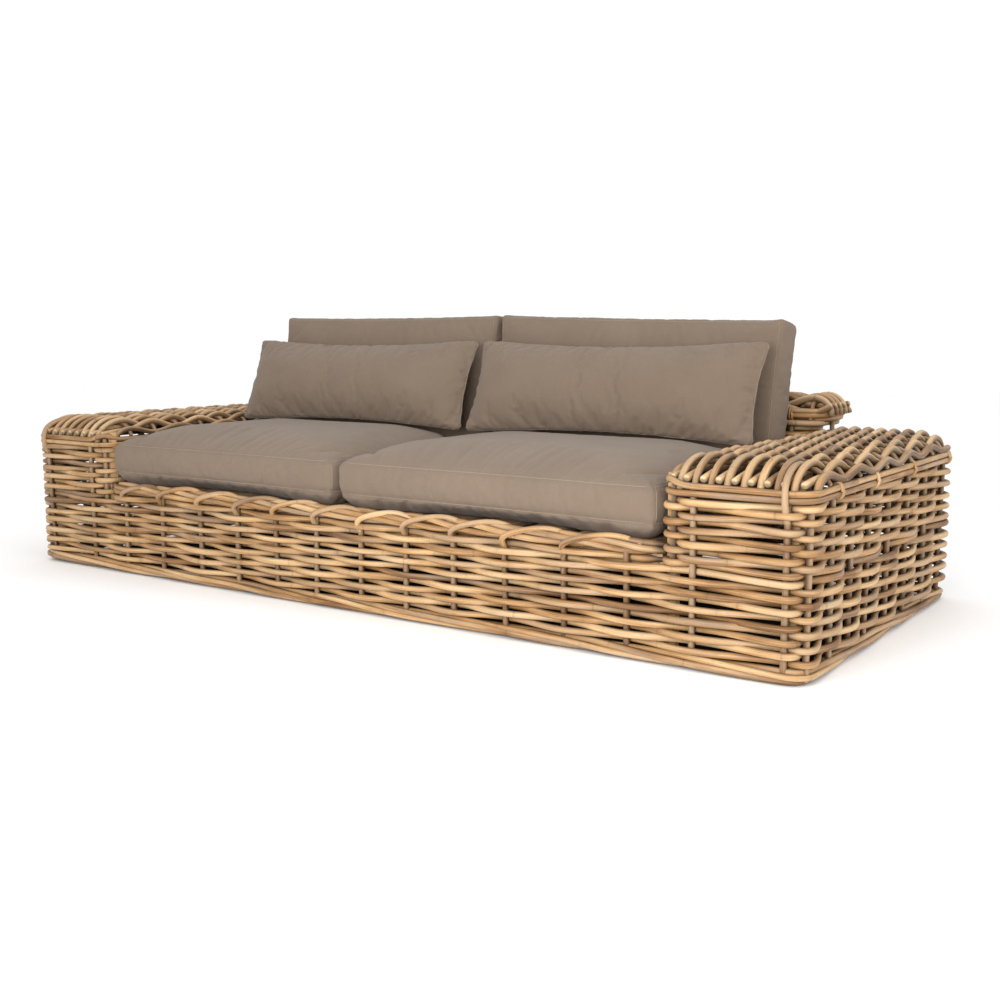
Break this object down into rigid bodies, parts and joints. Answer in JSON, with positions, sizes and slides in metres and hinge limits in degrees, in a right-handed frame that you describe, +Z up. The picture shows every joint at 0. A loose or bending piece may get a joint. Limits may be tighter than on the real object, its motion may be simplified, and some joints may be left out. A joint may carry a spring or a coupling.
{
  "type": "rattan garden sofa",
  "caption": "Low, wide outdoor sofa: open-weave rattan box arms, back and base on a pole frame, slatted deck, loose seat, back and lumbar cushions that lift off.",
  "frame": {"origin": "on the floor, under the middle of the sofa", "axes": "+X along the length toward the right arm as seen from the front, the front faces -Y, +Z up"},
  "size_m": [2.62, 1.12, 0.7895],
  "materials": {
    "weaver": "satin natural rattan",
    "stake": "satin natural rattan",
    "pole": "satin rattan pole",
    "slat": "sawn softwood",
    "fabric": "matte woven outdoor fabric",
    "glide": "matte"
  },
  "bodies": {
    "sofa_frame": {"arm_front_left_stakes": "stake", "arm_front_left_weave": "weaver", "arm_front_right_stakes": "stake", "arm_front_right_weave": "weaver", "arm_inner_left_stakes": "stake", "arm_inner_left_weave": "weaver", "arm_inner_right_stakes": "stake", "arm_inner_right_weave": "weaver", "arm_post_left": "pole", "arm_post_right": "pole", "arm_side_left_stakes": "stake", "arm_side_left_weave": "weaver", "arm_side_right_stakes": "stake", "arm_side_right_weave": "weaver", "arm_top_left_stakes": "stake", "arm_top_left_weave": "weaver", "arm_top_right_stakes": "stake", "arm_top_right_weave": "weaver", "back_crest_stakes": "stake", "back_crest_weave": "weaver", "back_end_left_stakes": "stake", "back_end_left_weave": "weaver", "back_end_right_stakes": "stake", "back_end_right_weave": "weaver", "back_inner_stakes": "stake", "back_inner_weave": "weaver", "back_outer_stakes": "stake", "back_outer_weave": "weaver", "back_post_left": "pole", "back_post_right": "pole", "back_top_stakes": "stake", "back_top_weave": "weaver", "centre_bearer": "pole", "centre_leg": "pole", "corner_post_back_left": "pole", "corner_post_back_right": "pole", "corner_post_front_left": "pole", "corner_post_front_right": "pole", "front_rail_stakes": "stake", "front_rail_weave": "weaver", "glide_arm_left": "glide", "glide_arm_right": "glide", "glide_back_left": "glide", "glide_back_right": "glide", "glide_centre": "glide", "glide_front_left": "glide", "glide_front_right": "glide", "seat_deck_left": "slat", "seat_deck_right": "slat", "seat_rail_back": "pole", "seat_rail_front": "pole", "seat_rail_left": "pole", "seat_rail_right": "pole"},
    "back_cushion_left": {"back_cushion_left": "fabric"},
    "back_cushion_right": {"back_cushion_right": "fabric"},
    "lumbar_pillow_left": {"lumbar_pillow_left": "fabric"},
    "lumbar_pillow_right": {"lumbar_pillow_right": "fabric"},
    "seat_cushion_left": {"seat_cushion_left": "fabric"},
    "seat_cushion_right": {"seat_cushion_right": "fabric"}
  },
  "joints": [
    {"name": "seat_cushion_left_lift", "type": "slide", "parent": "sofa_frame", "child": "seat_cushion_left", "axis": [0, 0, 1], "range_m": [0, 0.3]},
    {"name": "lumbar_pillow_left_lift", "type": "slide", "parent": "seat_cushion_left", "child": "lumbar_pillow_left", "axis": [0, 0, 1], "range_m": [0, 0.3]},
    {"name": "back_cushion_left_lift", "type": "slide", "parent": "sofa_frame", "child": "back_cushion_left", "axis": [0, 0.1626, 0.9867], "range_m": [0, 0.35]},
    {"name": "seat_cushion_right_lift", "type": "slide", "parent": "sofa_frame", "child": "seat_cushion_right", "axis": [0, 0, 1], "range_m": [0, 0.3]},
    {"name": "lumbar_pillow_right_lift", "type": "slide", "parent": "seat_cushion_right", "child": "lumbar_pillow_right", "axis": [0, 0, 1], "range_m": [0, 0.3]},
    {"name": "back_cushion_right_lift", "type": "slide", "parent": "sofa_frame", "child": "back_cushion_right", "axis": [0, 0.1626, 0.9867], "range_m": [0, 0.35]}
  ]
}
